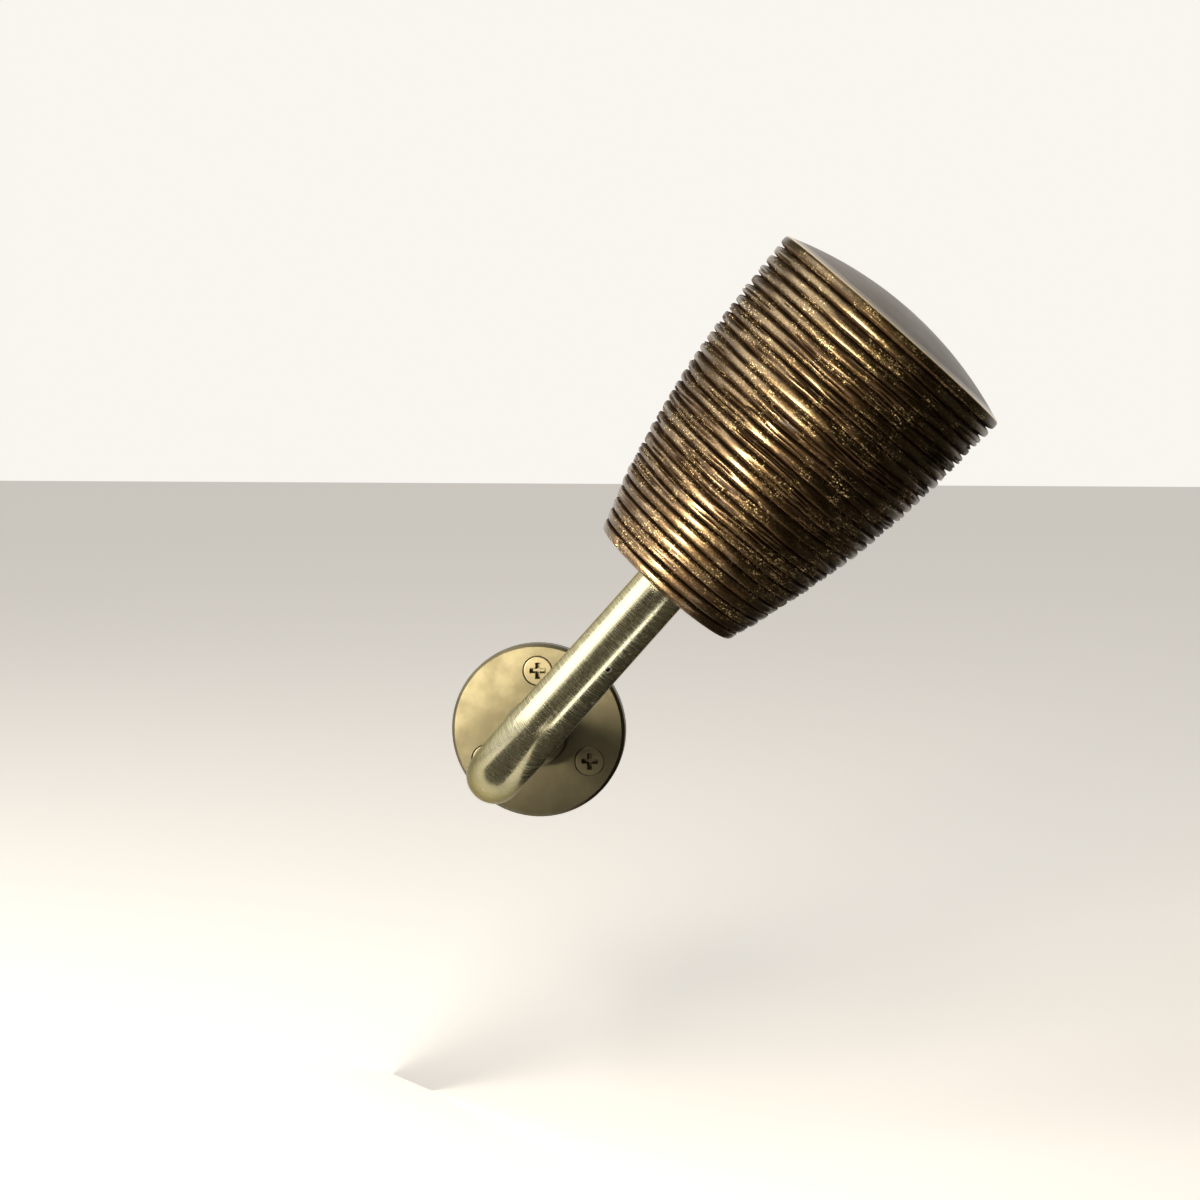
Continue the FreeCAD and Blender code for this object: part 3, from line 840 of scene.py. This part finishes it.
def make_arm(brass):
    """The bent tube: a grid of points round its centreline, dented at the pit."""
    stations, turns = arm_path(), arm_turns()
    bend_middle = WALL_LEG + BEND_RADIUS * math.pi / 4
    pit_distance = WALL_LEG + BEND_LENGTH + PIT_RUN
    points, pits, rims, uvs = [], [], [], []
    for place, way, distance in stations:
        outward = way.cross(LEG_SIDE).normalized()
        spread = 1 + BEND_SPREAD * math.exp(-((distance - bend_middle) / (1.1 * BEND_RADIUS)) ** 2)
        for turn in turns:
            dent, lip = pit_form(math.hypot((turn - PIT_TURN) * TUBE_RADIUS, distance - pit_distance))
            radius = TUBE_RADIUS - dent + lip
            side = radius * spread * math.sin(turn)
            points.append(place + outward * radius * math.cos(turn) - LEG_SIDE * side)
            # These marks carry a painted shade into the pit and a painted highlight round its lip
            pits.append(min(1.0, dent / (0.4 * MM)))
            rims.append(min(1.0, lip / (0.10 * MM)))
            uvs.append((distance, turn * TUBE_RADIUS))
    faces = grid_faces(len(stations), len(turns))
    close_ends(points, faces, len(turns), stations[0][0], stations[-1][0])
    mesh = mesh_from("arm", points, faces)
    store_marks(mesh, "pit", pits)
    store_marks(mesh, "pit_rim", rims)
    lay_tube_uv(mesh, uvs)
    add_piece("arm", mesh, brass, "arm_tube", sharp_degrees=50)


# The wall screws

SCREW_CIRCLE = 15.5 * MM
SCREW_ANGLES = {1: math.radians(90), 2: math.radians(210), 3: math.radians(330)}
SCREW_COLUMNS = 72
SCREW_LENGTH = 32 * MM
SCREW_TOP = ROSE_THICKNESS - 0.1 * MM
SCREW_TIP = SCREW_TOP - SCREW_LENGTH
SCREW_POINT = 4 * MM
SCREW_NECK = 1.45 * MM
SCREW_CORE = SCREW_NECK * 0.93
SCREW_HEAD = 3.8 * MM
THREAD_OUTSIDE = 2.0 * MM
THREAD_PITCH = 1.8 * MM
THREAD_START = SCREW_TIP + 0.15 * MM
THREAD_END = -0.6 * MM
THREAD_ROW = 0.16 * MM
CROSS_WIDTH = 1.1 * MM
CROSS_SPAN = 4.2 * MM
CROSS_DEPTH = 1.7 * MM
FACE_RADIUS = SCREW_HEAD - 0.32 * MM
FACE_RINGS = 26


def thread_radius(height, turn):
    """The wound flank of the thread over its core, tapered to the point and run out at the neck."""
    around = (height / THREAD_PITCH - turn / FULL_TURN) % 1.0
    flank = max(0.0, 1 - abs(around - 0.5) / 0.26)
    point = min(1.0, (height - SCREW_TIP) / SCREW_POINT)
    runout = min(1.0, max(0.0, (THREAD_END - height) / (1.5 * MM)))
    return point * (SCREW_CORE + (THREAD_OUTSIDE - SCREW_CORE) * flank * runout)


def cross_sink(across, up):
    """Depth of the cross recess under the head's face: two slots with slightly sloping walls."""
    deep = 0.0
    for long, short in ((abs(across), abs(up)), (abs(up), abs(across))):
        inside = min((CROSS_SPAN / 2 - long) / (0.5 * MM), (CROSS_WIDTH / 2 - short) / (0.16 * MM))
        deep = max(deep, min(1.0, max(0.0, inside)))
    return deep * CROSS_DEPTH


def screw_rows():
    """(height, radius) of the screw's rings from its point up; None is the thread's own radius."""
    count = int((SCREW_LENGTH - SCREW_TOP) / THREAD_ROW)
    rows = [(THREAD_START + (THREAD_END - THREAD_START) * row / count, None) for row in range(count)]
    cone_low = SCREW_TOP - (SCREW_HEAD - SCREW_NECK)
    rows += [(THREAD_END, SCREW_NECK), (cone_low - 0.1 * MM, SCREW_NECK)]
    rows += [(cone_low + 0.1 * MM, SCREW_NECK + 0.1 * MM)]
    # The cone's upper end, and the rounded edge of the head
    for down, inward in ((0.35, 0.35), (0.2, 0.2), (0.09, 0.13), (0.02, 0.2)):
        rows.append((SCREW_TOP - down * MM, SCREW_HEAD - inward * MM))
    return rows + [(SCREW_TOP, FACE_RADIUS * (1 - ring / FACE_RINGS)) for ring in range(FACE_RINGS)]


def make_wall_screw(number, angle, metal):
    """A wood screw: wound thread, plain neck, cone, rounded head edge and cross recess."""
    rows = screw_rows()
    points = []
    for height, radius in rows:
        for column in range(SCREW_COLUMNS):
            turn = FULL_TURN * column / SCREW_COLUMNS
            reach = thread_radius(height, turn) if radius is None else radius
            across, up = reach * math.cos(turn), reach * math.sin(turn)
            sink = cross_sink(across, up) if height == SCREW_TOP else 0.0
            points.append((across, up, height - sink))
    faces = grid_faces(len(rows), SCREW_COLUMNS)
    close_ends(points, faces, SCREW_COLUMNS, (0, 0, SCREW_TIP), (0, 0, SCREW_TOP - CROSS_DEPTH))
    node = f"wall_screw_{number}"
    mesh = mesh_from(f"{node}_wound", points, faces)
    place = Vector((math.cos(angle), 0, math.sin(angle))) * SCREW_CIRCLE
    mesh.transform(Matrix.Translation(place) @ Matrix.Rotation(math.pi / 2, 4, "X"))
    add_piece(f"{node}_wound", mesh, metal, node, sharp_degrees=40)


# Camera, background and floor

CAMERA_PLACE = Vector((84.2, -584.2, 89.5)) * MM
CAMERA_AZIMUTH = math.radians(6.69)
CAMERA_ELEVATION = math.radians(5.43)
PHOTO_WIDTH = 1200
FOCAL_PIXELS = 2300
SENSOR_WIDTH = 36.0
FLOOR_DROP = 48 * MM
FLOOR_LEVEL = cad_box[0][2] - FLOOR_DROP
FLOOR_REACH = 3.0
FLOOR_PALE = ((0.90, 0.875, 0.835, 1), (0.93, 0.905, 0.865, 1))
FLOOR_GLOW = (0.45, 0.425, 0.39, 1)
BACKGROUND_PALE = (0.95, 0.915, 0.865, 1)
BLACK = (0, 0, 0, 1)


def camera_turn(azimuth, elevation):
    """A camera's rotation: azimuth 0 looks along +Y, and elevation is above the horizon."""
    flat = math.cos(elevation)
    back = Vector((math.sin(azimuth) * flat, -math.cos(azimuth) * flat, math.sin(elevation)))
    right = Vector((math.cos(azimuth), math.sin(azimuth), 0))
    return Matrix((right, back.cross(right), back)).transposed()


def make_camera():
    """The camera that was solved from the photograph."""
    data = bpy.data.cameras.new("camera")
    data.sensor_fit = "HORIZONTAL"
    data.sensor_width = SENSOR_WIDTH
    data.lens = SENSOR_WIDTH * FOCAL_PIXELS / PHOTO_WIDTH
    data.clip_start = 0.01
    camera = bpy.data.objects.new("camera", data)
    turn = camera_turn(CAMERA_AZIMUTH, CAMERA_ELEVATION)
    camera.matrix_world = Matrix.Translation(CAMERA_PLACE) @ turn.to_4x4()
    bpy.context.scene.collection.objects.link(camera)
    bpy.context.scene.camera = camera


def seen_factor(tree):
    """1 for rays from the camera, in mirrors and through glass, and 0 for the rest."""
    path = tree.nodes.new("ShaderNodeLightPath")
    first = maths(tree, "MAXIMUM", path.outputs["Is Camera Ray"], path.outputs["Is Glossy Ray"])
    return maths(tree, "MAXIMUM", first, path.outputs["Is Transmission Ray"])


def make_world(shown, lit):
    """A pale background, and a plainer level of light from all round."""
    world = bpy.data.worlds.new("studio")
    bpy.context.scene.world = world
    world.use_nodes = True
    tree = world.node_tree
    background = next(node for node in tree.nodes if node.type == "BACKGROUND")
    background.inputs["Color"].default_value = BACKGROUND_PALE
    strength = ramp_between(tree, seen_factor(tree), 0.0, 1.0, lit, shown, smooth=False)
    put(tree, background.inputs["Strength"], strength)


def add_matt_sheet(name, corners, cloud_scale, tones, material_name):
    """A flat stage piece of two close, matt tones. Returns it with its node tree and shader."""
    sheet = bpy.data.objects.new(name, mesh_from(name, corners, [(0, 1, 2, 3)]))
    bpy.context.scene.collection.objects.link(sheet)
    material, tree, shader = new_material(material_name)
    cloud = noise(tree, object_place(tree), cloud_scale)
    put(tree, shader.inputs["Base Color"], mix_colour(tree, cloud, *tones))
    shader.inputs["Roughness"].default_value = 1.0
    shader.inputs["Specular IOR Level"].default_value = 0.0
    sheet.data.materials.append(material)
    sheet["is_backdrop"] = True
    return sheet, tree, shader


def make_floor():
    """A wide pale floor, well below the object."""
    sides = ((-1, -1), (1, -1), (1, 1), (-1, 1))
    corners = [(x * FLOOR_REACH, y * FLOOR_REACH, FLOOR_LEVEL) for x, y in sides]
    _, tree, shader = add_matt_sheet("floor", corners, 6.0, FLOOR_PALE, "floor_pale")
    put(tree, shader.inputs["Emission Color"], mix_colour(tree, seen_factor(tree), BLACK, FLOOR_GLOW))
    shader.inputs["Emission Strength"].default_value = 1.0


# Light

# Softboxes and cards are set out round this place on the front leg.
LEG_MIDDLE = LEG_WAY * 0.05 + ROOM_WAY * ARM_REACH
FINIAL_MIDDLE = LEG_WAY * 0.09 + ROOM_WAY * ARM_REACH
CARD_LEVEL = FLOOR_LEVEL + 1 * MM
# Olive tint of the cards, as a share of their shade
CARD_TINT = (1, 0.93, 0.70)


def round_leg(degrees, distance, along=0.0):
    """A place round the front leg: 0 is towards the room, 90 is the leg's upper left side."""
    turn = math.radians(degrees)
    way = ROOM_WAY * math.cos(turn) + LEG_SIDE * math.sin(turn)
    return LEG_MIDDLE + way * distance + LEG_WAY * along


def facing_turn(aim):
    """A turn that looks along aim, with its X as near as can be to the front leg's own way."""
    back = -aim
    across = (LEG_WAY - back * LEG_WAY.dot(back)).normalized()
    return Matrix((across, back.cross(across), back)).transposed()


def add_lamp(name, place, target, size, radiance, colour=(1, 1, 1)):
    """A softbox of size (along the leg, across it) at place that faces target, in metres."""
    data = bpy.data.lights.new(name, "AREA")
    data.shape = "RECTANGLE"
    data.size, data.size_y = size
    data.energy = radiance * math.pi * size[0] * size[1]
    data.color = colour
    lamp = bpy.data.objects.new(name, data)
    turn = facing_turn((target - place).normalized())
    lamp.matrix_world = Matrix.Translation(place) @ turn.to_4x4()
    lamp.visible_camera = False
    bpy.context.scene.collection.objects.link(lamp)


def add_card(name, corners, shade, shadow=False):
    """A dark card that shows only in reflections, as a studio uses to draw dark bands on metal."""
    tones = [tuple(shade * level * part for part in CARD_TINT) + (1,) for level in (0.85, 1.15)]
    card, _, _ = add_matt_sheet(name, corners, 5.0, tones, f"{name}_matt")
    card.visible_camera = False
    card.visible_shadow = shadow
    card.visible_diffuse = False


def standing_card(name, place, target, size, shade, shadow=True):
    """A card at place that faces target, its long side along the leg."""
    turn = facing_turn((target - place).normalized())
    corners = [
        place + turn @ Vector((x * size[0] / 2, y * size[1] / 2, 0))
        for x, y in ((-1, -1), (1, -1), (1, 1), (-1, 1))]
    add_card(name, corners, shade, shadow)


def lying_card(name, x_range, y_range, shade):
    """A card that lies just above the floor."""
    (left, right), (near, far) = x_range, y_range
    corners = [(x, y, CARD_LEVEL) for x, y in ((left, near), (right, near), (right, far), (left, far))]
    add_card(name, corners, shade)


def make_softboxes():
    """A wide softbox at the left, a hot low one for the finial, and a strip that lights from below."""
    add_lamp("key_softbox", round_leg(70, 0.75), LEG_MIDDLE, (0.75, 0.70), 2.5, (1.0, 0.98, 0.94))
    low = Vector((-0.20, -0.47, -0.005))
    add_lamp("low_softbox", low, FINIAL_MIDDLE, (0.20, 0.16), 52.0, (1.0, 0.90, 0.74))
    strip = Vector((0.142, -0.225, CARD_LEVEL + 2 * MM))
    add_lamp("floor_strip", strip, strip + Vector((0, 0, 1)), (0.16, 0.045), 3.4)


def make_cards():
    """Dark cards beside the camera and over parts of the floor.

    The strip of floor left bare between them draws the narrow lower highlight of the tube.
    """
    standing_card("front_card", round_leg(3, 1.1, along=0.65), LEG_MIDDLE, (2.4, 1.4), 0.07)
    left_place = round_leg(128, 0.9, along=0.5)
    standing_card("left_card", left_place, LEG_MIDDLE, (1.1, 0.75), 0.06, shadow=False)
    edges = ((-1.5, CARD_LEVEL), (0.45, CARD_LEVEL), (0.45, 1.4), (-1.5, 1.4))
    add_card("right_card", [Vector((0.5, y, z)) for y, z in edges], 0.05, shadow=True)
    lying_card("near_floor_card", (0.02, 0.13), (-0.205, 0.15), 0.05)
    lying_card("side_floor_card", (0.13, 0.9), (-0.205, 0.15), 0.12)
    lying_card("far_floor_card", (0.02, 0.9), (-1.2, -0.245), 0.06)


def make_flags():
    """Flags that keep the low softbox off the finial's right third, the tube and the bend."""
    # Corners as (out from the wall leg's end, to the leg's side, along the leg), in millimetres
    beside = ((57, 3.6, 50), (57, 3.6, 138), (38, -62, 138), (38, -62, 50))
    corners = [
        ROOM_WAY * (ARM_REACH + out * MM) + LEG_SIDE * side * MM + LEG_WAY * along * MM
        for out, side, along in beside]
    add_card("finial_flag", corners, 0.04, shadow=True)
    tube = LEG_WAY * 0.014 + ROOM_WAY * ARM_REACH
    lean = math.radians(10)
    tube_way = ROOM_WAY * math.cos(lean) + LEG_SIDE * math.sin(lean)
    standing_card("tube_flag", tube + tube_way * 0.031, tube, (0.078, 0.024), 0.20)
    bend = ROOM_WAY * (ARM_REACH - 0.3 * BEND_RADIUS) + LEG_WAY * 0.3 * BEND_RADIUS
    bend_way = (ROOM_WAY * 0.55 - LEG_WAY * 0.83).normalized()
    standing_card("bend_flag", bend + bend_way * 0.055, bend, (0.110, 0.074), 0.20)


def dress_nodes():
    """Gives their materials to the solids that are shown as they are."""
    rose_brass = plain_metal("rose_brass", (0.165, 0.147, 0.09, 1), (0.125, 0.11, 0.065, 1), 0.40)
    zinc = plain_metal("zinc_plate", (0.62, 0.63, 0.62, 1), (0.45, 0.46, 0.46, 1), 0.30)
    turned_brass = plain_metal("turned_brass", (0.80, 0.62, 0.30, 1), (0.60, 0.44, 0.20, 1), 0.25)
    node_finish = {
        "wall_rose": rose_brass, "rose_screw": zinc, "front_tube_nut": zinc,
        "rear_tube_nut": zinc, "finial_stud": zinc, "finial_insert": turned_brass,
    }
    for name, material in node_finish.items():
        for slot in NODES[name].material_slots:
            slot.material = material


def main():
    """Builds the dressed holdback and its studio."""
    dress_nodes()
    make_finial(finial_bronze())
    make_arm(arm_brass())
    screw_brass = plain_metal("screw_brass", (0.22, 0.19, 0.115, 1), (0.17, 0.147, 0.088, 1), 0.36)
    for number, angle in SCREW_ANGLES.items():
        make_wall_screw(number, angle, screw_brass)
    make_floor()
    make_world(shown=1.0, lit=0.16)
    make_softboxes()
    make_cards()
    make_flags()
    make_camera()
    bpy.context.scene.view_settings.view_transform = "Standard"


main()
boxes = {"cad": cad_box, "visual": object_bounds()}
{name: [list(map(float, corner)) for corner in box] for name, box in boxes.items()}
